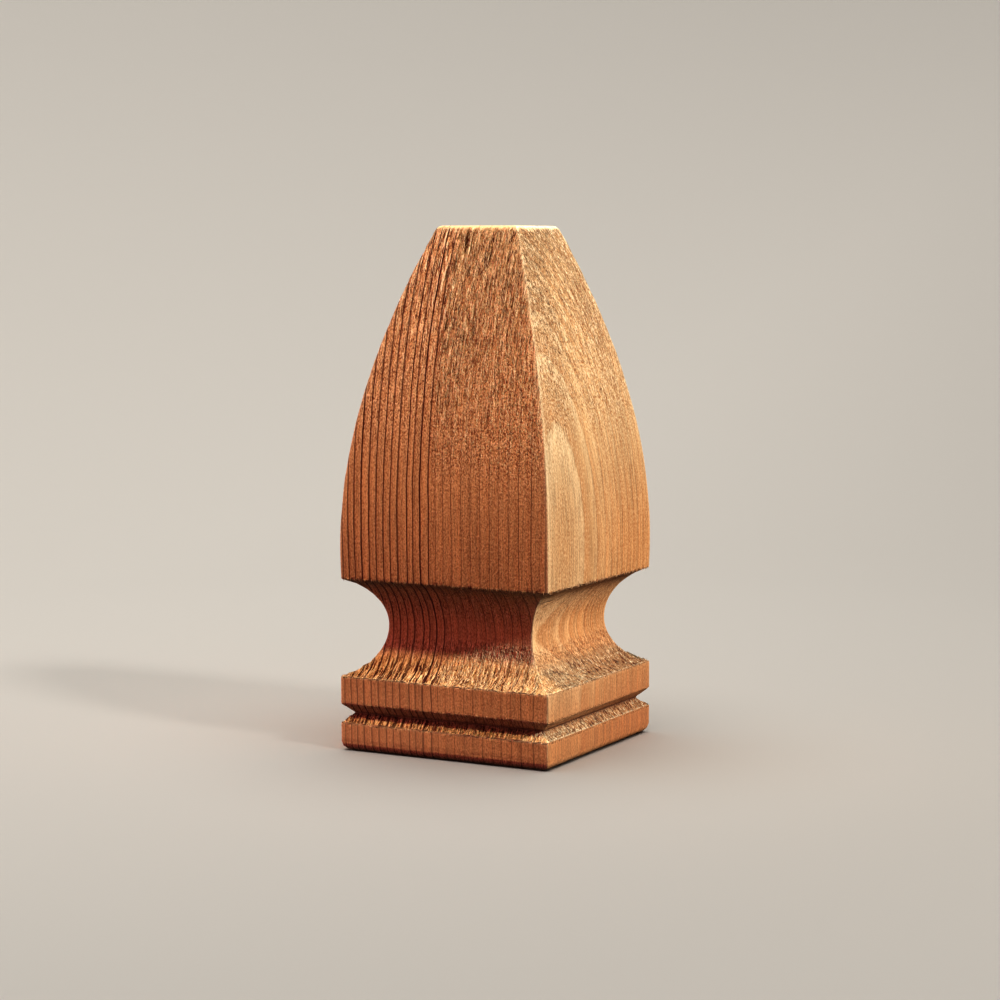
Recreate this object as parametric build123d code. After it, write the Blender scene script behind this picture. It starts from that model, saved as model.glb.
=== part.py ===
from build123d import *
import math
import os

# Gothic finial: one block of cedar, cut to the same side outline on all four sides.
# Millimetres. The origin is the middle of the underside, +Z is up and the front looks along -Y.

# Blank
width = 78.0
height = 175.5

# Foot: two square plates with a V groove between them
lower_plate_thickness = 9.4
groove_opening = 6.4
groove_depth = 3.5
upper_plate_thickness = 9.4
foot_edge_round = 3.0

# Neck: a round cove between the foot and the head
cove_opening = 32.8
neck_width = 54.4

# Head: a pointed arch of two arcs a side, with its tip sawn off flat
belly_rise = 10.0  # from the head's lower edge up to its widest level
belly_radius = 235.0
shoulder_rise = 54.0  # from the widest level up to where the flatter upper arc takes over
tip_width = 30.0
tip_edge_round = 2.0

# Pilot hole for the screw that holds the finial down
pilot_diameter = 6.35
pilot_depth = 40.0
drill_point_angle = 118.0

# Levels that follow from these
groove_bottom = lower_plate_thickness
groove_top = groove_bottom + groove_opening
cove_bottom = groove_top + upper_plate_thickness
head_bottom = cove_bottom + cove_opening
belly_level = head_bottom + belly_rise
shoulder_level = belly_level + shoulder_rise


def head_half_width(level):
    """Half the head's width at a level of its lower arc."""
    drop = belly_radius - math.sqrt(belly_radius**2 - (level - belly_level) ** 2)
    return width / 2 - drop


def foot_lines():
    """The right side of the two plates, from the underside up to the cove's lower edge."""
    side = width / 2
    groove_middle = (groove_bottom + groove_top) / 2
    return Polyline(
        (side, 0),
        (side, groove_bottom),
        (side - groove_depth, groove_middle),
        (side, groove_top),
        (side, cove_bottom),
    )


def cove_line():
    """The cove's arc, from the upper plate in to the neck and out to the head's lower edge."""
    neck = (neck_width / 2, (cove_bottom + head_bottom) / 2)
    return ThreePointArc((width / 2, cove_bottom), neck, (head_half_width(head_bottom), head_bottom))


def head_lines():
    """The head's two arcs, tangent at the shoulder, from its lower edge up to the tip."""
    lower_edge = (head_half_width(head_bottom), head_bottom)
    shoulder = (head_half_width(shoulder_level), shoulder_level)
    lower_arc = ThreePointArc(lower_edge, (width / 2, belly_level), shoulder)
    return lower_arc + TangentArc(shoulder, (tip_width / 2, height), tangent=lower_arc % 1)


def side_outline():
    """The whole side outline as a face in the XZ plane, with the tip's and the foot's edges rounded."""
    right_side = foot_lines() + cove_line() + head_lines()
    left_side = mirror(right_side, Plane.YZ)
    underside = Line((-width / 2, 0), (width / 2, 0))
    tip = Line((-tip_width / 2, height), (tip_width / 2, height))
    face = make_face(Plane.XZ * (right_side + left_side + underside + tip))
    face = fillet(face.vertices().group_by(Axis.Z)[-1], tip_edge_round)
    return fillet(face.vertices().group_by(Axis.Z)[0], foot_edge_round)


def pilot_hole():
    """The drilled hole in the underside, with the cone that the drill's point leaves."""
    radius = pilot_diameter / 2
    point = radius / math.tan(math.radians(drill_point_angle / 2))
    drilled = Cylinder(radius, pilot_depth, align=(Align.CENTER, Align.CENTER, Align.MIN))
    cone = Cone(radius, 0, point, align=(Align.CENTER, Align.CENTER, Align.MIN))
    return drilled + Pos(0, 0, pilot_depth) * cone


def finial():
    """Two bars of the side outline, crossing at right angles, keep what all four cuts leave."""
    bar = extrude(side_outline(), width, both=True)
    return (bar & Rot(0, 0, 90) * bar) - pilot_hole()


os.makedirs("parts", exist_ok=True)
export_step(finial(), "parts/finial.step")
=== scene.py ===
import itertools
import math

import bpy
import numpy as np
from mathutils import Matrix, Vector


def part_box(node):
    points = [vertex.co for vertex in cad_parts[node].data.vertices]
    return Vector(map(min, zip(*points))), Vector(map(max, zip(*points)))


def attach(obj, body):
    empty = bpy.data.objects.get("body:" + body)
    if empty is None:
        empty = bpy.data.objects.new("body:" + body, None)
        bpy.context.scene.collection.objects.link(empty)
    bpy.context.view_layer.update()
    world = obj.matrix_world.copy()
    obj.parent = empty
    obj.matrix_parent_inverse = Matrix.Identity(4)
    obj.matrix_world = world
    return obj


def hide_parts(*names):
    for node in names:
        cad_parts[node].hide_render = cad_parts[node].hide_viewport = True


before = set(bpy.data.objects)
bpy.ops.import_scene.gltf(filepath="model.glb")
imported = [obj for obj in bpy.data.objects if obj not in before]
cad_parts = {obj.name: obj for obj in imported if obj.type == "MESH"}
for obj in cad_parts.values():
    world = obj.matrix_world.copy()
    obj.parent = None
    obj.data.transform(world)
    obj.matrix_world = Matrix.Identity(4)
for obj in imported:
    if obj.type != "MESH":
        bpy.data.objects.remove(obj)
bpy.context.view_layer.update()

# The looks of a sawn and moulded cedar finial: growth rings, torn grain, worn edges and loose fibres.
# Shapes are worked out in millimetres, and MM takes them to Blender's metres. Side 0 is the front, and the
# others follow by the right. "Along" is the way up a side's outline from the underside, "across" the way
# across the side, and "up" the upward part of the surface's direction.
MM = 0.001

# Outline, with the width and the height from the frame
corner_low, corner_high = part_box("finial")
width = (corner_high.x - corner_low.x) / MM
height = (corner_high.z - corner_low.z) / MM
plate_thickness = 9.4
groove_opening = 6.4
groove_depth = 3.5
foot_round = 3.0
cove_opening = 32.8
neck_width = 54.4
belly_rise = 10.0
belly_radius = 235.0
shoulder_rise = 54.0
tip_width = 30.0
tip_round = 2.0

# Pilot hole
bore_radius = 3.175
bore_depth = 40.0
bore_point = 1.9
bore_fray = 0.3
bore_surround = 6.35  # radius of the loop of vertices round its mouth

# Levels that follow from these
groove_bottom = plate_thickness
groove_top = groove_bottom + groove_opening
cove_bottom = groove_top + plate_thickness
head_bottom = cove_bottom + cove_opening
belly_level = head_bottom + belly_rise
shoulder_level = belly_level + shoulder_rise

# Mesh of the block
columns = 150  # of faces across a side
arris_columns = 3  # of those, on each half of a rounded arris
outline_step = 0.05
row_gap = 1.6  # between rows of vertices on a plain stretch
cove_row_gap = 1.05
edge_row_gap = 0.2
row_growth = 0.45  # how much wider the gaps get for each millimetre away from an edge
top_loops = ((12.9, 90), (10.5, 24), (8.0, 18), (5.5, 12), (3.0, 6), (1.0, 2))  # half width, vertices a side
underside_loops = ((35.8, 90), (30.0, 36), (22.0, 26), (14.0, 18))
bore_vertices = 48
loop_start = -3 * math.pi / 4  # the way of the front left corner, where the loops of vertices start

# Seeds and lattice of the random relief
noise_values = 4096
noise_primes = (73856093, 19349663, 83492791)
tear_seed = 11
streak_seeds = (21, 22)
warp_seed = 23
bite_seed = 24
stroke_seeds = (25, 26)
arris_seed = 31
end_grain_seed = 41
rim_seed = 42

# Wear
edge_wear = 0.22  # how far wear rounds the outline's edges
wear_reach = 3  # how many times as far the rounding is worked out
arris_radius = 0.4
arris_variation = 0.45  # share of the radius
arris_variation_size = (7.0, 1.0)  # along it and from corner to corner
corner_shift = 9.5  # keeps the corners' variations apart
chip_levels = (93.2, 94.6)  # of a chip in the front left arris, which is rubbed off above it
chip_depth = 0.35

# Growth rings: the distances of their dark lines from the tree's pith, beside the block
pith = (70.0, -27.0)
lean = 0.0175  # how far the lines lean for each millimetre of height
lean_level = 67.0
ring_radii = [
    *range(6, 34, 7), 34.5, 39.3, 43.6, 47.1, 50.6, 53.8, 57.2, 60.8, 64.2, 67.8, 70.9, 73.6,
    76.2, 79.4, 82.0, 84.2, 88.0, 90.6, 93.3, 96.1, 98.9, 101.8, 104.4, 106.7, *range(109, 134, 3),
]
narrow_rings = (74.0, 76.0)  # where the rings turn narrow and their lines strong

# How far apart the places across neighbouring sides are in the grain's texture
side_offset = 100.0
ends_side = 4  # the number that the tip and the underside have there

# Torn grain, from 0 to 1: the upward part of the surface's direction where it starts, and how much more it
# takes to be complete
tear_start = 0.03
tear_start_narrow = 0.05  # later by this where the rings are narrow
tear_start_right = 0.06  # and by this on the right side
tear_reach_foot = 0.75
tear_reach_head = 0.36
overhang_tear = 0.35  # the most where the surface faces down
overhang_tear_levels = (0.05, 0.6)
tear_patches = (0.9, 0.2)  # mean share and variation
tear_patch_size = (9.0, 22.0)
side_shift = 279.0  # keeps the sides' patches apart

# Steep slopes, where the grain is torn in straight strokes
steep_levels = (0.42, 0.7)
overhang_steepness = 0.4
overhang_steep_levels = (0.1, 0.6)

# Relief. Its noises have lumps of these sizes: across the rings, across the side and along it
streak_sizes = ((0.5, 3.0, 1.0), (1.1, 6.0, 2.4))  # fine and coarse, the last times the length
streak_length_foot = 1.6
streak_length_head = 3.4
stroke_sizes = ((0.55, 2.0), (1.2, 5.0))  # across the side and along it, on steep slopes
coarse_share = 0.5
tear_depth = 0.26
tear_depth_steep = 0.7  # share added on steep slopes
tear_level = 0.5  # of the streaks, where the surface keeps the plain form
tip_margin = (0.5, 3.0)  # below the tip's edge, where the relief fades out
underside_margin = (0.0, 2.0)
warp = 0.06
warp_size = (14.0, 14.0, 22.0)
bite_depth = 0.5
bite_level = 0.05
bite_size = (1.3, 1.5)
edge_bites = ((1.0, 0.45), (0.6, 0.4), (0.4, 0.3), (0.5, 0.4))  # strengths and reaches, from the head down
end_grain_depth = 0.06
end_grain_size = (0.9, 0.9)

# Splits on the front: distance across, highest and lowest level, width and depth
splits = (
    (-2.6, 174.6, 165.8, 0.85, 1.3),
    (-0.6, 171.5, 166.0, 0.6, 0.8),
    (7.4, 171.5, 163.6, 0.6, 0.9),
    (-8.0, 162.2, 157.4, 0.65, 0.9),
    (0.2, 161.8, 158.2, 0.7, 0.9),
    (-5.0, 146.2, 141.0, 0.55, 0.8),
    (14.0, 174.2, 170.6, 0.6, 0.8),
)
split_wander = 0.12
split_turn = 1.7  # radians of its wave for each millimetre of height
# Painted shade in the splits
split_shade_depth = 0.8  # depth from which a split is as dark as it gets

# Pale, frayed rims with a painted highlight, and painted highlights on the tip's round edge and the arrises:
# strength and reach
plate_rims = ((0.7, 0.5), (0.6, 0.5))  # on the upper plate, then the lower one
# Painted highlight along the tip's round edge
tip_highlight = 1.3
tip_highlight_levels = (2.4, 1.5)
# Painted highlight along the arrises
arris_highlight = (0.3, 1.2)
rim_patches = (0.75, 0.25)  # mean share and variation
rim_patch_size = (0.7, 0.7)
# The tip's end grain: paler sawn fibre with a painted highlight
top_fray_and_highlight = 0.8

# Painted shade in the groove's bottom and under the head at the cove's top: strength and reach
groove_painted_shade = (0.75, 1.0)
cove_painted_shade = 0.55
cove_painted_shade_reach = (7.0, 1.0)  # below the head's lower edge, where it starts and is full

# Torn grain on the tip and the underside
top_torn = 0.5
underside_torn = 0.2

# Shards, slim closed bodies of a root, two sides, a ridge and a tip, for loose fibres
shard_faces = ((0, 3, 1), (0, 2, 3), (0, 1, 2), (4, 1, 3), (4, 3, 2), (4, 2, 1))
shard_vertices = 5
shard_fray = (0.1, 0.3, 0.3, 0.45, 0.6)  # share of its paleness at each vertex
# Painted shade at a shard's vertices, darkest at its root, where it meets the surface
shard_painted_shade = (0.8, 0.35, 0.35, 0.1, 0.0)
shard_torn = 0.3
shard_steepness = 0.5

# Torn fibres
fibre_margin = 1.0  # from the arris
narrow_ring_fibres = 0.1  # how many there are in narrow rings, as a share of those in wide ones
least_torn = 0.1  # grain that has fibres
fibre_stray = 0.06  # from the grain's slant
steepest_slant = 0.9
least_crossing = 0.2  # of the growth rings for each millimetre across a side
fibre_sides = 0.35  # where it's widest, as a share of its length
fibre_ridge = 0.4
root_depth = 0.15
side_depth = 0.03
ridge_height = 0.08
ridge_lift = 0.4  # share of its tip's lift
fibre_paleness = (0.0, 0.8)

# Fringes along the edges
fringe_margin = 0.6
fringe_roots = (0.1, 0.6)  # how far from the edge
fringe_widths = (0.12, 0.3)
fringe_tilt = (-0.05, 0.25)
fringe_stray = 0.5
fringe_root = 0.4
fringe_thickness = 0.5  # share of its width

# The wood's noises, with the sizes of their lumps across the rings, along the outline and across the side.
# Streaks follow the rings where the cut crosses them, and the fibres where it's along the rings or steep.
streaks_of_wood = {
    "fibres": ((0.33, 16.0, 11.0), (6.0, 10.0, 0.36)),
    "stipple": ((0.42, 0.8, 0.75), (4.0, 0.9, 0.36)),
    "dashes": ((0.4, 5.0, 4.0), (6.0, 4.5, 0.4)),
}
gouge_size = (0.75, 4.5, 3.5)
strokes_stipple = 0.2  # share of stipple in the strokes on slopes, the rest being dashes
broad_size = (16, 16, 55)  # along x, y and z
ring_wander = (((20, 20, 45), 1.2), ((4, 4, 11), 0.5))  # how the rings stray: sizes and reaches
cut_along_rings = (0.7, 0.98)

# Values of the wood that follow from others. A fade has a value's name, the levels where it starts and ends,
# and what it gives there, or else 0 and 1. Names and fades in a row are multiplied.
products = {
    "deep": [("torn", 0.6, 1)],
    "right": [("across", 45, 55), ("across", 145, 155, 1, 0)],
    "right_wall": ["right", ("steep", 0, 1, 1, 0.1)],
    "rough": [("torn", 0, 0.25, 0.5, 1), ("flat", 0, 1, 1, 1.15), ("right", 0, 1, 1, 0.85)],
    "tone": [
        ("chance", 0, 1, 0.93, 1.05), ("fibres", 0.32, 0.68, 0.76, 1.18), ("broad", 0.3, 0.7, 0.93, 1.05),
    ],
    "line": [("fraction", 0.975, 1, 1, 0), ("chance", 0, 1, 0.75, 1), ("flat", 0, 1, 1, 0.1)],
}

# Growth rings' dark lines: fades of the fraction of a ring where they start, by how narrow it is, and of
# their strength in wide rings, by the level
line_start = (0, 1, 0.87, 0.77)
line_start_steep = -0.06  # added on steep slopes
line_rise = 0.08
wide_ring_line = (90, 125, 0.62, 0.15)

# The wood of wide and of narrow rings: the fractions between which its colour changes, and both colours.
# Colours are as they look on a screen.
ring_colours = (
    ((0, 0.6), (194, 148, 107), (197, 156, 116)),
    ((0, 0.8), (209, 166, 125), (196, 149, 108)),
)
screen_gamma = 2.2

# Layers of colour, each over those before it: how it mixes, its colour, another for the right side, and the
# names and fades whose product is its strength
ring_layers = (
    ("MULTIPLY", (249, 247, 245), None, "flat"),
    # Painted sheen: paler wood inside each ring's outer end where the cut runs along the rings
    ("MIX", (250, 220, 182), None, ("fraction", 0.45, 0.9, 0, 0.38), ("fraction", 0.93, 1, 1, 0), "flat"),
)
wood_layers = (
    # Torn grain: painted shade in its hollows as dots, pits and dark gouges, the dots and pits lighter on the
    # right side; painted highlights as glints; and paler fibre with a painted highlight at fibres' ends and
    # bright gouges
    ("MIX", (104, 34, 8), (140, 72, 28), "rough", ("stipple", 0.36, 0.47, 0.8, 0)),
    ("MIX", (253, 216, 180), None, "rough", ("stipple", 0.53, 0.64, 0, 0.6)),
    ("MIX", (82, 26, 4), (104, 44, 10), "torn", ("dashes", 0.38, 0.44, 0.95, 0)),
    ("MIX", (253, 224, 192), None, "torn", ("dashes", 0.54, 0.61, 0, 0.9)),
    ("MIX", (72, 22, 4), None, "deep", ("gouges", 0.25, 0.34, 0.9, 0)),
    ("MIX", (254, 228, 196), None, "deep", ("gouges", 0.6, 0.71, 0, 0.9)),
    # Pale wood near the pith, and painted shade in the gaps between strokes, on slopes
    ("MIX", (253, 226, 188), None, "steep", ("distance", 34, 52, 0.5, 0)),
    ("MIX", (92, 28, 4), None, "steep", ("strokes", 0.4, 0.47, 0.9, 0), ("distance", *narrow_rings, 1, 0.6)),
    # The rings' dark lines, pale frayed rims with painted highlights, and painted shade
    ("MIX", (70, 22, 6), None, "late", ("right", 0, 1, 1, 0.55)),
    ("MIX", (255, 232, 202), None, "fray"),
    ("MIX", (72, 18, 10), None, "grime"),
    # Painted shade on the slopes of all but the right side, painted shade that makes the right side redder
    # lower down and at its foot, and painted light that makes the foot paler
    ("MULTIPLY", (241, 236, 222), None, ("steep", 0.4, 1), ("right", 0, 1, 1, 0)),
    # Painted shade: the right side redder and darker towards its foot
    ("MULTIPLY", (254, 229, 208), None, "right_wall", ("level", 65, 115, 1, 0), ("distance", 34, 60, 0.5, 1)),
    ("MULTIPLY", (230, 184, 148), None, "right_wall", ("level", 5, 38, 1, 0)),
    # Painted light: the foot paler, most on its left, less on slopes
    (
        "MIX", (254, 214, 172), None,
        ("level", 8, 48, 1, 0), ("x", -20, 30, 0.33, 0.13), ("steep", 0, 0.6, 1, 0),
    ),
)

# Bump: heights in millimetres, each with the values whose product it's multiplied by
bumps = (
    (0.1, "fibres"),
    (-0.12, "late"),
    (0.45, "rough", "stipple"),
    (1.0, "torn", "dashes"),
    (0.9, "deep", "gouges"),
)
# The bump fades out where the fray and the painted highlight are
worn_smooth = (0.8, 1.0, 1.0, 0.0)  # fray where the bump fades out
wood_roughness = 0.8
wood_specular = 0.25

# Camera, from its fit to the photograph
camera_azimuth = 28.08
camera_distance = 841.5
camera_height = 167.1
camera_pitch = 5.711
camera_yaw = 0.046
focal_length_px = 2489.0
picture_px = 1000.0
sensor_width = 36.0

# Lights. Those on the finial: where from and how far from the head's middle, size, watts and colour
head_middle = (0.0, 0.0, 0.1)
key_light = ((1.0, 0.0, 0.54), 2.0, 0.22, 264.0, (0.95, 1.0, 0.93))
front_light = ((-0.1, -0.4, 1.0), 2.4, 0.28, 248.0, (1.0, 0.86, 0.55))
spot_reach = 0.3  # radius of a spot's light round the head's middle, soft all the way to its edge
fill_light = ((-1.0, -0.8, 0.2), 1.2, 0.8, 13.8, (1.0, 0.3, 0.3))
back_light = ((-1.0, 0.7, 0.5), 1.2, 0.4, 17.0, (1.0, 0.86, 0.68))

# The floor: a level round part that curves up all round, in metres
floor_radius = 0.45
floor_curve = 1.5
floor_columns = 96
floor_rows = 24
floor_colour = (0.66, 0.62, 0.56)
floor_roughness = 0.9

# Its own light: a sun from the key's side and a soft one from above, and the room's dim light
floor_sun_strength = 1.1
floor_sun_spread = 9.0  # degrees across
floor_sun_direction = (1.0, -0.2, 0.75)
floor_top_light = ((0.0, 0.0, 1.6), 2.0, 34.0, (1, 1, 1))  # place, size, watts and colour
world_colour = (1.0, 0.8, 0.9)
world_strength = 0.02
display_gamma = 0.75  # a firm contrast, as the photograph's


def smooth_step(low, high, value):
    """0 below low, 1 above high, and a smooth rise between them."""
    share = np.clip((value - low) / (high - low), 0, 1)
    return share * share * (3 - 2 * share)


def value_noise(seed, sizes, *places):
    """Smooth noise from -1 to 1, with lumps of the given sizes along one to three coordinates."""
    table = np.random.default_rng(seed).uniform(-1, 1, noise_values)
    primes = np.array(noise_primes[: len(places)])
    scaled = [place / size for place, size in zip(places, sizes)]
    points = np.stack(np.broadcast_arrays(*scaled), axis=-1)
    cell = np.floor(points).astype(np.int64)
    part = points - cell
    part = part * part * (3 - 2 * part)
    total = np.zeros(points.shape[:-1])
    for corner in itertools.product((0, 1), repeat=len(places)):
        key = np.bitwise_xor.reduce((cell + corner) * primes, axis=-1) & (noise_values - 1)
        total += table[key] * np.prod(np.where(corner, part, 1 - part), axis=-1)
    return total


def layered_noise(seeds, sizes, *places):
    """Noise of fine lumps with a share of coarse ones."""
    fine, coarse = (value_noise(seed, size, *places) for seed, size in zip(seeds, sizes))
    return fine + coarse_share * coarse


def arc_points(centre, radius, start, end):
    """Points of an arc in the outline's plane, between two angles in radians."""
    count = max(2, math.ceil(abs(end - start) * radius / outline_step) + 1)
    turn = np.linspace(start, end, count)
    return np.c_[centre[0] + radius * np.cos(turn), centre[1] + radius * np.sin(turn)]


def line_points(start, end):
    """Points of a straight stretch of the outline."""
    count = max(2, math.ceil(math.dist(start, end) / outline_step) + 1)
    return np.linspace(start, end, count)


def foot_stretches():
    """The outline of the two plates, from the underside up to the cove."""
    side = width / 2
    corners = [
        (side, foot_round),
        (side, groove_bottom),
        (side - groove_depth, (groove_bottom + groove_top) / 2),
        (side, groove_top),
        (side, cove_bottom),
    ]
    edge = arc_points((side - foot_round, foot_round), foot_round, -math.pi / 2, 0)
    return [edge] + [line_points(*ends) for ends in itertools.pairwise(corners)]


def cove_stretch(top):
    """The cove's arc, through its lower edge, the neck and the head's lower edge."""
    bottom = np.array([width / 2, cove_bottom])
    neck = np.array([neck_width / 2, (cove_bottom + head_bottom) / 2])
    chords = np.array([neck - bottom, top - bottom])
    middles = np.array([neck + bottom, top + bottom]) / 2
    centre = np.linalg.solve(chords, (chords * middles).sum(axis=1))
    start, end = (math.atan2(*(point - centre)[::-1]) % (2 * math.pi) for point in (bottom, top))
    return arc_points(centre, math.dist(centre, bottom), start, end)


def head_stretches():
    """The head's lower arc, the flatter upper one that is tangent to it, and the tip's round edge."""
    low_centre = (width / 2 - belly_radius, belly_level)
    start = math.asin((head_bottom - belly_level) / belly_radius)
    turn = math.asin((shoulder_level - belly_level) / belly_radius)
    lower = arc_points(low_centre, belly_radius, start, turn)
    outward = np.array([math.cos(turn), math.sin(turn)])
    to_tip = np.array([tip_width / 2, height]) - lower[-1]
    radius = -(to_tip @ to_tip) / (2 * to_tip @ outward)
    high_centre = lower[-1] - radius * outward
    rise = height - tip_round - high_centre[1]
    run = math.sqrt((radius - tip_round) ** 2 - rise**2)
    tip_turn = math.atan2(rise, run)
    upper = arc_points(high_centre, radius, turn, tip_turn)
    tip_centre = (high_centre[0] + run, height - tip_round)
    return [lower, upper, arc_points(tip_centre, tip_round, tip_turn, math.pi / 2)]


def path_lengths(points):
    """The distance along a line of points to each of them."""
    return np.r_[0, np.cumsum(np.hypot(*np.diff(points, axis=0).T))]


def worn_outline():
    """Even steps along the worn outline, its half widths and levels there, and where its edges are."""
    head = head_stretches()
    stretches = foot_stretches() + [cove_stretch(head[0][0])] + head
    ends = np.cumsum([path_lengths(stretch)[-1] for stretch in stretches])
    points = np.concatenate([stretch[:-1] for stretch in stretches] + [stretches[-1][-1:]])
    along = path_lengths(points)
    even = np.arange(0, along[-1], outline_step)
    sharp = [np.interp(even, along, points[:, axis]) for axis in (0, 1)]
    reach = round(wear_reach * edge_wear / outline_step)
    bell = np.exp(-0.5 * (np.arange(-reach, reach + 1) * outline_step / edge_wear) ** 2)
    padded = [np.pad(line, reach, mode="reflect", reflect_type="odd") for line in sharp]
    worn = [np.convolve(line, bell / bell.sum(), "valid") for line in padded]
    return even, np.array(worn), ends[1:6]


outline_along, (outline_half, outline_level), outline_edges = worn_outline()
groove_low_edge, groove_apex, groove_high_edge, plate_edge, head_edge = outline_edges
outline_end = outline_along[-1]
heading = np.gradient(np.array([outline_half, outline_level]), outline_step, axis=1)
heading /= np.hypot(*heading)

# Torn fibres: name, seed, their stretch of the outline, how many are tried, lengths, widths and lifts
fibre_sets = (
    ("head", 51, (head_edge + 14, outline_end - 3), 80000, (0.5, 1.9), (0.15, 0.32), (0.05, 0.25)),
    ("cove", 52, (plate_edge, plate_edge + 22), 32000, (0.5, 1.7), (0.16, 0.34), (0.05, 0.3)),
    ("groove", 53, (groove_low_edge, groove_apex - 0.8), 6000, (0.5, 1.6), (0.15, 0.35), (0.05, 0.3)),
)

# Fringes: name, seed, edge, up or down, fibres for each millimetre of the edge, lengths and paleness
fringe_sets = (
    ("head", 54, head_edge, -1, 5, (0.2, 1.1), (0, 0.15)),
    ("upper_plate_top", 55, plate_edge, 1, 5, (0.2, 0.8), (0.3, 1)),
    ("upper_plate_bottom", 56, groove_high_edge, -1, 3, (0.15, 0.5), (0, 0.3)),
    ("lower_plate", 57, groove_low_edge, 1, 5, (0.2, 0.7), (0.3, 1)),
)


def outline_at(along):
    """Half width, level, and the outward and upward parts of the surface's direction."""
    lines = (outline_half, outline_level, heading[1], -heading[0])
    return [np.interp(along, outline_along, line) for line in lines]


def row_places():
    """Where the rows of vertices lie along the outline, close together at its edges."""
    in_cove = (outline_along > plate_edge) & (outline_along < head_edge)
    gap = np.where(in_cove, cove_row_gap, row_gap)
    for edge in (*outline_edges, outline_end):
        gap = np.minimum(gap, edge_row_gap + row_growth * abs(outline_along - edge))
    count = np.cumsum(outline_step / gap)
    return np.interp(np.linspace(count[0], count[-1], round(count[-1])), count, outline_along)


def side_directions(side):
    """The outward and the sideways direction of each side."""
    turn = np.radians(90 * side - 90)
    return (np.cos(turn), np.sin(turn)), (-np.sin(turn), np.cos(turn))


def pith_distance(x, y, z):
    """How far a place is from the tree's pith, which leans a little."""
    return np.hypot(x + lean * (z - lean_level) - pith[0], y - pith[1])


def torn_grain(side, across, along, x, y, z, up):
    """How torn the grain is, from 0 to 1. Cutters tear it where the surface faces up across the fibres."""
    narrow = smooth_step(*narrow_rings, pith_distance(x, y, z))
    start = tear_start + tear_start_narrow * narrow + tear_start_right * (side == 1)
    reach = np.where(along < head_edge, tear_reach_foot, tear_reach_head)
    torn = smooth_step(start, start + reach, up) + overhang_tear * smooth_step(*overhang_tear_levels, -up)
    mean, variation = tear_patches
    patches = value_noise(tear_seed, tear_patch_size, across + side_shift * side, along)
    return np.clip(torn * (mean + variation * patches), 0, 1)


def steepness(along):
    """1 on the cove's and the groove's slopes that face up, less where they face down, 0 on the walls."""
    up = outline_at(along)[3]
    return smooth_step(*steep_levels, up) + overhang_steepness * smooth_step(*overhang_steep_levels, -up)


def edge_nearness(along, edge, reach):
    """1 at an edge of the outline, down to 0 a few times reach away from it."""
    return np.exp(-(((along - edge) / reach) ** 2))


def near_edges(along, edges, strengths):
    """Nearness to several edges, each by its strength and reach."""
    pairs = zip(edges, strengths)
    return sum(strength * edge_nearness(along, edge, reach) for edge, (strength, reach) in pairs)


def split_depth(side, across, level):
    """How deep the splits on the front are at each place."""
    depth = np.zeros(np.shape(across))
    for middle, high, low, wide, deep in splits:
        half_length = (high - low) / 2
        along = np.clip(1 - ((level - (high + low) / 2) / half_length) ** 2, 0, 1)
        wander = split_wander * np.sin(level * split_turn + middle)
        beside = np.clip(1 - (abs(across - middle - wander) / (wide / 2)) ** 2, 0, 1)
        depth = np.maximum(depth, deep * np.sqrt(along) * beside)
    return np.where(side == 0, depth, 0)


def edge_bite(place, along):
    """How deep the bites out of the ragged edges are."""
    ragged = near_edges(along, (head_edge, plate_edge, groove_high_edge, groove_low_edge), edge_bites)
    bites = value_noise(bite_seed, bite_size, place, along)
    return bite_depth * np.clip(bites - bite_level, 0, 1) * ragged


def relief(side, across, along, x, y, z, up):
    """How far the real surface stands proud of the plain form, in millimetres."""
    place = across + side_offset * side
    length = np.where(along < head_edge, streak_length_foot, streak_length_head)
    sizes = [(*size, times * length) for *size, times in streak_sizes]
    streaks = layered_noise(streak_seeds, sizes, pith_distance(x, y, z), place, along)
    steep = steepness(along)
    streaks += steep * (layered_noise(stroke_seeds, stroke_sizes, place, along) - streaks)
    depth = tear_depth * torn_grain(side, across, along, x, y, z, up) * (1 + tear_depth_steep * steep)
    depth *= (streaks - tear_level) * smooth_step(*tip_margin, outline_end - along)
    waves = warp * value_noise(warp_seed, warp_size, x, y, z)
    return waves + depth - edge_bite(place, along) - split_depth(side, across, z)


def arris_wear(corner, along):
    """The radius of an arris at places along the outline. The front left one is rubbed off above a chip."""
    variation = value_noise(arris_seed, arris_variation_size, along, corner_shift * corner)
    level = np.interp(along, outline_along, outline_level)
    rubbed = chip_depth * smooth_step(*chip_levels, level) * (corner == 0)
    return arris_radius * (1 + arris_variation * variation) + rubbed


def plain_grid(rows):
    """The block's grid of places before relief, as arrays of rows by columns round the four sides."""
    index = np.arange(4 * columns)
    side = index // columns
    column = index % columns
    before = np.clip(1 - column / arris_columns, 0, 1)
    after = np.clip(1 - (columns - column) / arris_columns, 0, 1)
    turn = np.pi / 4 * (before - after)
    share = 2 * np.clip((column - arris_columns) / (columns - 2 * arris_columns), 0, 1) - 1
    corner = np.where(column < columns / 2, side, (side + 1) % 4)
    along = np.broadcast_to(rows[:, None], (len(rows), len(index)))
    half, level, out, up = outline_at(along)
    radius = arris_wear(corner[None, :], along)
    across = share * (half - radius) - radius * np.sin(turn)
    away = half - radius + radius * np.cos(turn)
    outward, sideways = side_directions(side)
    position = [away * o + across * s for o, s in zip(outward, sideways)] + [level]
    facing = [out * (np.cos(turn) * o - np.sin(turn) * s) for o, s in zip(outward, sideways)] + [up]
    return np.broadcast_to(side, along.shape), across, along, np.stack(position, -1), np.stack(facing, -1)


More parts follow.
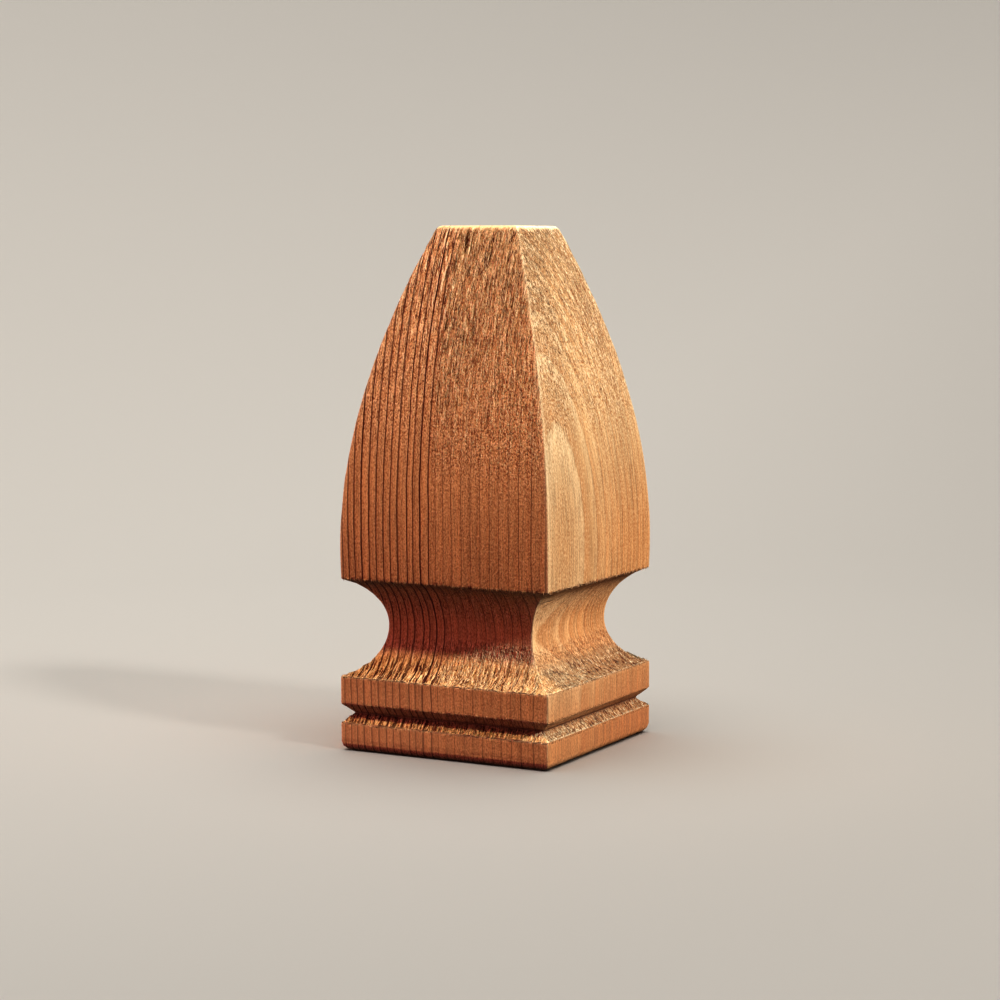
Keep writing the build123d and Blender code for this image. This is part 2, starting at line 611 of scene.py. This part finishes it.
def place_on_side(side, across, along):
    """Points on the real surface of a side, clear of its arrises, and the surface's direction there."""
    half, level, out, up = outline_at(along)
    outward, sideways = side_directions(side)
    position = np.stack([half * o + across * s for o, s in zip(outward, sideways)] + [level], -1)
    facing = np.stack([out * o for o in outward] + [up], -1)
    proud = relief(side, across, along, *position.T, up)
    return position + facing * proud[:, None], facing


def stitch(outer, inner, outer_turn, inner_turn):
    """Triangles between two closed loops of vertices, walked round together by their share of a turn."""
    faces = []
    i = j = 0
    outer_turn = [*outer_turn[1:], 1.0]
    inner_turn = [*inner_turn[1:], 1.0]
    while i < len(outer) or j < len(inner):
        here, there = outer[i % len(outer)], inner[j % len(inner)]
        if j == len(inner) or (i < len(outer) and outer_turn[i] <= inner_turn[j]):
            i += 1
            faces.append((here, outer[i % len(outer)], there))
        else:
            j += 1
            faces.append((here, inner[j % len(inner)], there))
    return faces


def share_of_turn(points):
    """How far round the axis each point of a loop lies, from 0 at its front left corner."""
    turn = np.arctan2(points[:, 1], points[:, 0]) - loop_start
    share = (turn / (2 * np.pi)) % 1
    share[0] = 0
    return share


def square_loop(half, count, level):
    """A square loop of points round the axis, with count of them a side."""
    step = np.linspace(-half, half, count, endpoint=False)
    flat = np.full(count, half)
    x = np.r_[step, flat, -step, -flat]
    y = np.r_[-flat, step, flat, -step]
    return np.c_[x, y, np.full(4 * count, level)]


def round_loop(radius, level):
    """A round loop of points about the axis."""
    turn = np.linspace(0, 2 * np.pi, bore_vertices, endpoint=False) + loop_start
    return np.c_[radius * np.cos(turn), radius * np.sin(turn), np.full(bore_vertices, level)]


def close_with(points, rim, loops, apex, facing_up):
    """Vertices and faces that close the block from its rim, through loops, to a point."""
    added, faces = [], []
    outer, outer_turn = rim, share_of_turn(points[rim])
    count = len(points)
    for loop in loops:
        inner = np.arange(count, count + len(loop))
        inner_turn = share_of_turn(loop)
        faces += stitch(outer, inner, outer_turn, inner_turn)
        added.append(loop)
        outer, outer_turn = inner, inner_turn
        count += len(loop)
    faces += [(a, b, count) for a, b in zip(outer, np.roll(outer, -1))]
    added.append([apex])
    if not facing_up:
        faces = [face[::-1] for face in faces]
    return np.concatenate(added), faces


def top_cap(points, rim):
    """The sawn-off tip: end grain, a little rough."""
    loops = [square_loop(half, count, height) for half, count in top_loops]
    for loop in loops:
        lumps = value_noise(end_grain_seed, end_grain_size, loop[:, 0], loop[:, 1])
        loop[:, 2] -= end_grain_depth * (1 + lumps)
    return close_with(points, rim, loops, (0, 0, height - end_grain_depth), True)


def bottom_cap(points, rim):
    """The underside with the pilot hole drilled into it."""
    loops = [square_loop(half, count, 0) for half, count in underside_loops]
    loops += [round_loop(bore_surround, 0), round_loop(bore_radius + bore_fray, 0)]
    loops += [round_loop(bore_radius, level) for level in (bore_fray, bore_depth / 2, bore_depth)]
    return close_with(points, rim, loops, (0, 0, bore_depth + bore_point), False)


def mesh_object(name, points, faces, material, smooth):
    """An object in the scene with a mesh of its own."""
    mesh = bpy.data.meshes.new(name)
    mesh.from_pydata(points, [], faces)
    mesh.polygons.foreach_set("use_smooth", [smooth] * len(mesh.polygons))
    mesh.materials.append(material)
    made = bpy.data.objects.new(name, mesh)
    bpy.context.scene.collection.objects.link(made)
    return made


def new_material(name, roughness):
    """A material, and its shader."""
    material = bpy.data.materials.new(name)
    material.use_nodes = True
    shader = material.node_tree.nodes["Principled BSDF"]
    shader.inputs["Roughness"].default_value = roughness
    return material, shader


def new_piece(name, points, faces, material, smooth):
    """A piece of the finial at its place in the frame, from points in millimetres."""
    piece = mesh_object(name, points * MM, faces, material, smooth)
    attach(piece, "root")
    return piece


def add_value(mesh, name, *values):
    """A number for each vertex, which the material reads, from arrays in the vertices' order."""
    numbers = np.concatenate([np.ravel(part) for part in values])
    attribute = mesh.attributes.new(name, "FLOAT", "POINT")
    attribute.data.foreach_set("value", numbers.astype(np.float32))


def grid_faces(row_count):
    """The quads between the rows and columns of the block's grid."""
    ring = 4 * columns
    low = np.arange((row_count - 1) * ring).reshape(-1, ring)
    right = np.roll(low, -1, axis=1)
    return np.stack([low, right, right + ring, low + ring], -1).reshape(-1, 4)


def frayed_highlit_rims(across, along):
    """How pale the wood is near the edges and the arrises: frayed fibre with a painted highlight on the
    plates' rims, and painted highlight on the tip's round edge and the arrises.
    """
    rims = near_edges(along, (plate_edge, groove_low_edge), plate_rims)
    rims += tip_highlight * smooth_step(*tip_highlight_levels, outline_end - along)
    strength, reach = arris_highlight
    half = np.interp(along, outline_along, outline_half)
    rims += strength * edge_nearness(half, abs(across), reach)
    mean, variation = rim_patches
    rims *= mean + variation * value_noise(rim_seed, rim_patch_size, across, along)
    # The top row, the tip's round edge, in full painted highlight
    rims[-1] = 1.0
    return rims


def grime(side, across, along, level):
    """Painted shade: how dark the splits, the groove's bottom and the cove's top under the head are."""
    strength, reach = groove_painted_shade
    start, full = cove_painted_shade_reach
    shade_share = split_depth(side, across, level) / split_shade_depth
    shade_share += strength * edge_nearness(along, groove_apex, reach)
    shade_share += cove_painted_shade * smooth_step(head_edge - start, head_edge - full, along) * (along < head_edge)
    return np.clip(shade_share, 0, 1)


def block(material):
    """The whole finial as one closed mesh, with the relief of its real surface."""
    rows = row_places()
    side, across, along, plain, facing = plain_grid(rows)
    x, y, z = np.moveaxis(plain, -1, 0)
    up = facing[..., 2]
    proud = relief(side, across, along, x, y, z, up) * smooth_step(*underside_margin, along)
    points = (plain + facing * proud[..., None]).reshape(-1, 3)
    ring = 4 * columns
    first, last = np.arange(ring), np.arange(len(points) - ring, len(points))
    above, above_faces = top_cap(points, last)
    points = np.concatenate([points, above])
    below, below_faces = bottom_cap(points, first)
    points = np.concatenate([points, below])
    faces = [*grid_faces(len(rows)).tolist(), *above_faces, *below_faces]
    piece = new_piece("cedar_block", points, faces, material, True)

    mesh = piece.data
    ends = np.concatenate([above, below])
    no_value = np.zeros(len(ends))
    torn = torn_grain(side, across, along, x, y, z, up)
    above_fray_and_highlight = np.full(len(above), top_fray_and_highlight)
    # The tip's outer loop, its round edge, in full painted highlight
    above_fray_and_highlight[: 4 * top_loops[0][1]] = 1.0
    add_value(mesh, "torn", torn, np.full(len(above), top_torn), np.full(len(below), underside_torn))
    add_value(mesh, "fray", frayed_highlit_rims(across, along), above_fray_and_highlight, np.zeros(len(below)))
    # Painted shade in the splits, the groove's bottom and under the head
    add_value(mesh, "grime", grime(side, across, along, z), no_value)
    add_value(mesh, "steep", steepness(along), no_value)
    add_value(mesh, "across", across + side_offset * side, ends[:, 0] + side_offset * ends_side)
    add_value(mesh, "along", along, ends[:, 1])
    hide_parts("finial")


def new_node(tree, kind, inputs=(), **settings):
    """A node with its settings made, and its inputs linked to a socket or set to a value."""
    made = tree.nodes.new(kind)
    for name, value in settings.items():
        setattr(made, name, value)
    for name, value in dict(inputs).items():
        if isinstance(value, bpy.types.NodeSocket):
            tree.links.new(value, made.inputs[name])
        else:
            made.inputs[name].default_value = value
    return made


def calc(tree, operation, *values):
    """The result of a sum with one to three values."""
    return new_node(tree, "ShaderNodeMath", enumerate(values), operation=operation).outputs[0]


def product(tree, first, *others):
    """Values multiplied together."""
    for value in others:
        first = calc(tree, "MULTIPLY", first, value)
    return first


def fade(tree, value, low, high, start=0.0, end=1.0):
    """A smooth change from start to end while a value goes from low to high."""
    inputs = {0: value, 1: low, 2: high, 3: start, 4: end}
    return new_node(tree, "ShaderNodeMapRange", inputs, interpolation_type="SMOOTHSTEP").outputs[0]


def noise(tree, place, size, detail=2.0):
    """Noise around 0.5 whose lumps have the given size in millimetres along each axis."""
    factors = tuple(1 / length for length in size)
    scaled = new_node(tree, "ShaderNodeVectorMath", {0: place, 1: factors}, operation="MULTIPLY")
    inputs = {"Vector": scaled.outputs[0], "Scale": 1.0, "Detail": detail, "Roughness": 0.5}
    return new_node(tree, "ShaderNodeTexNoise", inputs).outputs["Fac"]


def mix_colour(tree, share, first, second, blend="MIX"):
    """Two colours mixed by a share from 0 to 1."""
    inputs = {0: share, 6: first, 7: second}
    return new_node(tree, "ShaderNodeMix", inputs, data_type="RGBA", blend_type=blend).outputs[2]


def linear(colour):
    """A colour given as it looks on a screen, from 0 to 255, as Blender's linear values."""
    return (*((value / 255) ** screen_gamma for value in colour), 1.0)


def from_pith(tree, place, x, y, z):
    """The way from the tree's pith to the place, across the grain, and its length as the rings stray."""
    leaning = calc(tree, "MULTIPLY_ADD", z, lean, -lean * lean_level - pith[0])
    inputs = {0: calc(tree, "ADD", x, leaning), 1: calc(tree, "SUBTRACT", y, pith[1])}
    way = new_node(tree, "ShaderNodeCombineXYZ", inputs).outputs[0]
    length = new_node(tree, "ShaderNodeVectorMath", {0: way}, operation="LENGTH").outputs["Value"]
    for size, reach in ring_wander:
        wander = calc(tree, "MULTIPLY_ADD", noise(tree, place, size), reach, -reach / 2)
        length = calc(tree, "ADD", length, wander)
    return way, length


def along_rings(tree, way):
    """1 where the surface is cut along a growth ring, 0 where it's cut across the rings."""
    outward = new_node(tree, "ShaderNodeVectorMath", {0: way}, operation="NORMALIZE").outputs[0]
    normal = tree.nodes.new("ShaderNodeTexCoord").outputs["Normal"]
    dot = new_node(tree, "ShaderNodeVectorMath", {0: outward, 1: normal}, operation="DOT_PRODUCT")
    return fade(tree, calc(tree, "ABSOLUTE", dot.outputs["Value"]), *cut_along_rings)


def ring_phase(tree, distance):
    """The number of the growth ring at a distance from the pith, with its fraction."""
    reach = ring_radii[-1]
    node = new_node(tree, "ShaderNodeFloatCurve", {1: calc(tree, "DIVIDE", distance, reach)})
    curve = node.mapping.curves[0]
    for number, radius in enumerate(ring_radii[:-1], 1):
        curve.points.new(radius / reach, number / len(ring_radii))
    for point in curve.points:
        point.handle_type = "VECTOR"
    node.mapping.update()
    return calc(tree, "MULTIPLY", node.outputs[0], float(len(ring_radii)))


def combined(tree, wood, *parts):
    """The product of named values of the wood, and of fades of them."""
    values = (
        wood[part] if isinstance(part, str) else fade(tree, wood[part[0]], *part[1:]) for part in parts
    )
    return product(tree, *values)


def add_noises(tree, wood, place):
    """Adds the noises of the grain to the wood's values."""
    inputs = {0: wood["distance"], 1: wood["along"], 2: wood["across"]}
    surface = new_node(tree, "ShaderNodeCombineXYZ", inputs).outputs[0]
    combed = calc(tree, "MAXIMUM", wood["flat"], wood["steep"])
    for name, sizes in streaks_of_wood.items():
        crossed, along = (noise(tree, surface, size) for size in sizes)
        wood[name] = calc(tree, "MULTIPLY_ADD", combed, calc(tree, "SUBTRACT", along, crossed), crossed)
    dashes = calc(tree, "MULTIPLY", wood["dashes"], 1 - strokes_stipple)
    wood["strokes"] = calc(tree, "MULTIPLY_ADD", wood["stipple"], strokes_stipple, dashes)
    wood["gouges"] = noise(tree, surface, gouge_size, 0.0)
    wood["broad"] = noise(tree, place, broad_size)


def add_rings(tree, wood):
    """Adds where in a growth ring the place is, and what the ring is like, to the wood's values."""
    ring = ring_phase(tree, wood["distance"])
    number = {"W": calc(tree, "FLOOR", ring)}
    wood["fraction"] = calc(tree, "FRACT", ring)
    wood["chance"] = new_node(tree, "ShaderNodeTexWhiteNoise", number, noise_dimensions="1D").outputs[0]
    wood["narrow"] = fade(tree, wood["distance"], *narrow_rings)


def ring_line(tree, wood):
    """How strong a growth ring's dark line is, at the outer end of the ring."""
    start = fade(tree, wood["narrow"], *line_start)
    start = calc(tree, "MULTIPLY_ADD", wood["steep"], line_start_steep, start)
    rise = fade(tree, wood["fraction"], start, calc(tree, "ADD", start, line_rise))
    strength = calc(tree, "MAXIMUM", wood["narrow"], fade(tree, wood["level"], *wide_ring_line))
    return product(tree, rise, strength, wood["line"])


def wood_values(tree):
    """What the wood's looks follow, by name: its place, how it's cut, torn and worn, its rings and noise."""
    coordinates = tree.nodes.new("ShaderNodeTexCoord").outputs["Object"]
    scaled = new_node(tree, "ShaderNodeVectorMath", {0: coordinates, 3: 1 / MM}, operation="SCALE")
    place = scaled.outputs[0]
    x, y, level = new_node(tree, "ShaderNodeSeparateXYZ", {0: place}).outputs
    way, distance = from_pith(tree, place, x, y, level)
    wood = {"x": x, "level": level, "distance": distance, "flat": along_rings(tree, way)}
    for name in ("torn", "fray", "grime", "steep", "across", "along"):
        wood[name] = new_node(tree, "ShaderNodeAttribute", attribute_name=name).outputs["Fac"]
    add_noises(tree, wood, place)
    add_rings(tree, wood)
    for name, parts in products.items():
        wood[name] = combined(tree, wood, *parts)
    wood["late"] = ring_line(tree, wood)
    return wood


def ring_colour(tree, wood):
    """The colour of the growth rings, but for their dark lines."""
    wide, narrow = (
        mix_colour(tree, fade(tree, wood["fraction"], *change), linear(inner), linear(outer))
        for change, inner, outer in ring_colours
    )
    return mix_colour(tree, wood["narrow"], wide, narrow)


def layered(tree, wood, colour, layers):
    """The colour with layers of others over it."""
    for blend, tint, right_tint, *parts in layers:
        layer = linear(tint)
        if right_tint:
            layer = mix_colour(tree, wood["right"], layer, linear(right_tint))
        colour = mix_colour(tree, combined(tree, wood, *parts), colour, layer, blend)
    return colour


def grain_bump(tree, wood):
    """The finest relief of the grain, which worn rims have lost."""
    rise = 0.0
    for part_height, *parts in bumps:
        rise = calc(tree, "MULTIPLY_ADD", combined(tree, wood, *parts), part_height, rise)
    inputs = {"Strength": fade(tree, wood["fray"], *worn_smooth), "Distance": MM, "Height": rise}
    return new_node(tree, "ShaderNodeBump", inputs).outputs[0]


def cedar():
    """Unfinished western red cedar."""
    material, shader = new_material("cedar", wood_roughness)
    tree = material.node_tree
    wood = wood_values(tree)
    colour = layered(tree, wood, ring_colour(tree, wood), ring_layers)
    colour = mix_colour(tree, 1.0, colour, wood["tone"], "MULTIPLY")
    shader.inputs["Specular IOR Level"].default_value = wood_specular
    tree.links.new(layered(tree, wood, colour, wood_layers), shader.inputs["Base Color"])
    tree.links.new(grain_bump(tree, wood), shader.inputs["Normal"])
    return material


def shard_mesh(name, material, corners, place, fray):
    """Shards with the given corners as one piece."""
    first = shard_vertices * np.arange(len(fray))[:, None, None]
    faces = (np.array(shard_faces) + first).reshape(-1, 3)
    piece = new_piece(name, np.stack(corners, 1).reshape(-1, 3), faces.tolist(), material, False)
    side, across, along = (np.repeat(part, shard_vertices) for part in place)
    add_value(piece.data, "torn", np.full(len(along), shard_torn))
    add_value(piece.data, "fray", fray[:, None] * np.array(shard_fray))
    # Painted shade, darkest at the root
    add_value(piece.data, "grime", fray[::-1, None] * np.array(shard_painted_shade))
    add_value(piece.data, "steep", shard_steepness * steepness(along))
    add_value(piece.data, "across", across + side_offset * side)
    add_value(piece.data, "along", along)


def scattered(random, stretch, count):
    """Places at random on the four sides in a stretch of the outline, thick where the grain is torn."""
    side = random.integers(0, 4, count)
    along = random.uniform(*stretch, count)
    half, _, _, up = outline_at(along)
    across = random.uniform(-1, 1, count) * (half - fibre_margin)
    position = place_on_side(side, across, along)[0]
    wide = 1 - smooth_step(*narrow_rings, pith_distance(*position.T))
    chance = torn_grain(side, across, along, *position.T, up)
    chance *= narrow_ring_fibres + (1 - narrow_ring_fibres) * wide
    kept = random.uniform(least_torn, 1, count) < chance
    return side[kept], across[kept], along[kept]


def grain_slant(side, across, along):
    """How far across a side the growth rings' lines run for each millimetre along it."""
    here, beside, above = (
        pith_distance(*place_on_side(side, across + aside, along + rise)[0].T)
        for aside, rise in ((0, 0), (1, 0), (0, 1))
    )
    change = beside - here
    change = np.where(abs(change) < least_crossing, np.copysign(least_crossing, change), change)
    slant = np.clip((here - above) / change, -steepest_slant, steepest_slant)
    return slant * (1 - np.clip(steepness(along), 0, 1))


def torn_fibres(name, material, seed, stretch, count, lengths, widths, lifts):
    """Fibres rooted in the torn grain, along the surface with their tips off it."""
    random = np.random.default_rng(seed)
    side, across, along = scattered(random, stretch, count)
    count = len(side)
    length = random.uniform(*lengths, count)
    wide = random.uniform(*widths, count) / 2
    lift = random.uniform(*lifts, count)
    slant = grain_slant(side, across, along) + random.normal(0, fibre_stray, count)
    rise = length / np.hypot(1, slant)
    drift = slant * rise

    def on_way(share, aside=0):
        """The same as place_on_side gives, at a share of the fibre's length."""
        return place_on_side(side, across + share * drift + aside, along + share * rise)

    root, facing = on_way(0)
    left, right = (on_way(fibre_sides, aside)[0] for aside in (-wide, wide))
    middle, facing_middle = on_way(fibre_ridge)
    tip, facing_tip = on_way(1)
    corners = (
        root - root_depth * facing,
        left - side_depth * facing_middle,
        right - side_depth * facing_middle,
        middle + (ridge_lift * lift + ridge_height)[:, None] * facing_middle,
        tip + lift[:, None] * facing_tip,
    )
    shard_mesh(name, material, corners, (side, across, along), random.uniform(*fibre_paleness, count))


def fringe(name, material, seed, edge, upward, density, lengths, paleness):
    """Fibre ends that stand past an edge of the outline on all four sides."""
    random = np.random.default_rng(seed)
    half = np.interp(edge, outline_along, outline_half)
    count = round(4 * 2 * half * density)
    side = random.integers(0, 4, count)
    across = random.uniform(-1, 1, count) * (half - fringe_margin)
    along = edge - upward * random.uniform(*fringe_roots, count)
    root, facing = place_on_side(side, across, along)
    wide = random.uniform(*fringe_widths, count)
    sideways = np.stack([*side_directions(side)[1], np.zeros(count)], -1) * wide[:, None]
    length = random.uniform(*lengths, count)
    grain = np.array([0.0, 0.0, upward])
    reach = grain * length[:, None] + facing * random.uniform(*fringe_tilt, count)[:, None]
    reach += sideways * random.normal(0, fringe_stray, count)[:, None]
    thick = facing * (fringe_thickness * wide)[:, None]
    sides = [root - sideways / 2, root + sideways / 2][::upward]
    corners = (root - fringe_root * grain - thick, *sides, root + thick, root + reach)
    shard_mesh(name, material, corners, (side, across, along), random.uniform(*paleness, count))


def on_finial(direction, distance):
    """The place at a distance from the head's middle in a direction."""
    return Vector(head_middle) + Vector(direction).normalized() * distance


def lamp(name, kind, place, group, **settings):
    """A lamp at a place, looking at the head, that lights what a collection says."""
    light = bpy.data.lights.new(name, kind)
    for setting, value in settings.items():
        setattr(light, setting, value)
    made = bpy.data.objects.new(name, light)
    made.location = place
    made.rotation_mode = "QUATERNION"
    made.rotation_quaternion = (Vector(place) - Vector(head_middle)).to_track_quat("Z", "Y")
    made.light_linking.receiver_collection = group
    bpy.context.scene.collection.objects.link(made)


def spot(name, group, direction, distance, size, power, colour):
    """A lamp whose light fades out from the middle of its cone, which falls on the head."""
    cone = {"spot_size": 2 * math.atan(spot_reach / distance), "spot_blend": 1.0}
    place = on_finial(direction, distance)
    lamp(name, "SPOT", place, group, shadow_soft_size=size / 2, energy=power, color=colour, **cone)


def soft_light(name, group, place, size, power, colour):
    """A round soft light that looks at the head."""
    lamp(name, "AREA", place, group, shape="DISK", size=size, energy=power, color=colour)


def floor():
    """A pale floor that curves up into a low wall all round."""
    turns = np.linspace(0, math.pi / 2, floor_rows)
    outline = zip(floor_radius + floor_curve * np.sin(turns), floor_curve * (1 - np.cos(turns)))
    circle = np.linspace(0, 2 * math.pi, floor_columns, endpoint=False)
    points = [(r * math.cos(t), r * math.sin(t), z) for r, z in outline for t in circle]
    faces = [tuple(range(floor_columns))]
    for start in range(0, floor_columns * (floor_rows - 1), floor_columns):
        for a in range(floor_columns):
            b = (a + 1) % floor_columns
            faces.append((start + a, start + a + floor_columns, start + b + floor_columns, start + b))
    material, shader = new_material("pale_floor", floor_roughness)
    shader.inputs["Base Color"].default_value = (*floor_colour, 1)
    made = mesh_object("floor", points, faces, material, True)
    made.visible_diffuse = False  # the real one stands high, with no floor to throw light up at it
    return made


def light_group(name, thing, state):
    """A collection for lamps that light a thing alone, or all but that thing."""
    group = bpy.data.collections.new(name)
    group.objects.link(thing)
    group.collection_objects[0].light_linking.link_state = state
    return group


def studio():
    """The floor with its even light, the lights on the finial and the room's dim light."""
    ground = floor()
    on_floor = light_group("on_floor", ground, "INCLUDE")
    off_floor = light_group("off_floor", ground, "EXCLUDE")
    sun = {"energy": floor_sun_strength, "angle": math.radians(floor_sun_spread)}
    lamp("floor_sun", "SUN", on_finial(floor_sun_direction, 1.0), on_floor, **sun)
    soft_light("floor_top", on_floor, *floor_top_light)
    spot("key", off_floor, *key_light)
    spot("front", off_floor, *front_light)
    for name, (direction, distance, *settings) in (("fill", fill_light), ("back", back_light)):
        soft_light(name, off_floor, on_finial(direction, distance), *settings)
    world = bpy.data.worlds.new("room")
    world.use_nodes = True
    background = world.node_tree.nodes["Background"]
    background.inputs["Color"].default_value = (*world_colour, 1)
    background.inputs["Strength"].default_value = world_strength
    bpy.context.scene.world = world


def camera():
    """The photograph's viewpoint: level with the head, looking a little down."""
    lens = bpy.data.cameras.new("camera")
    lens.sensor_width = sensor_width
    lens.lens = focal_length_px / picture_px * sensor_width
    viewer = bpy.data.objects.new("camera", lens)
    azimuth = math.radians(camera_azimuth)
    ground = camera_distance * MM
    viewer.location = (ground * math.sin(azimuth), -ground * math.cos(azimuth), camera_height * MM)
    viewer.rotation_euler = (math.radians(90 - camera_pitch), 0, math.radians(camera_azimuth - camera_yaw))
    bpy.context.scene.collection.objects.link(viewer)
    bpy.context.scene.camera = viewer


cedar_wood = cedar()
block(cedar_wood)
for place_name, *settings in fibre_sets:
    torn_fibres(f"torn_fibres_{place_name}", cedar_wood, *settings)
for place_name, *settings in fringe_sets:
    fringe(f"fringe_{place_name}", cedar_wood, *settings)
studio()
camera()
bpy.context.scene.view_settings.view_transform = "Standard"
bpy.context.scene.view_settings.gamma = display_gamma
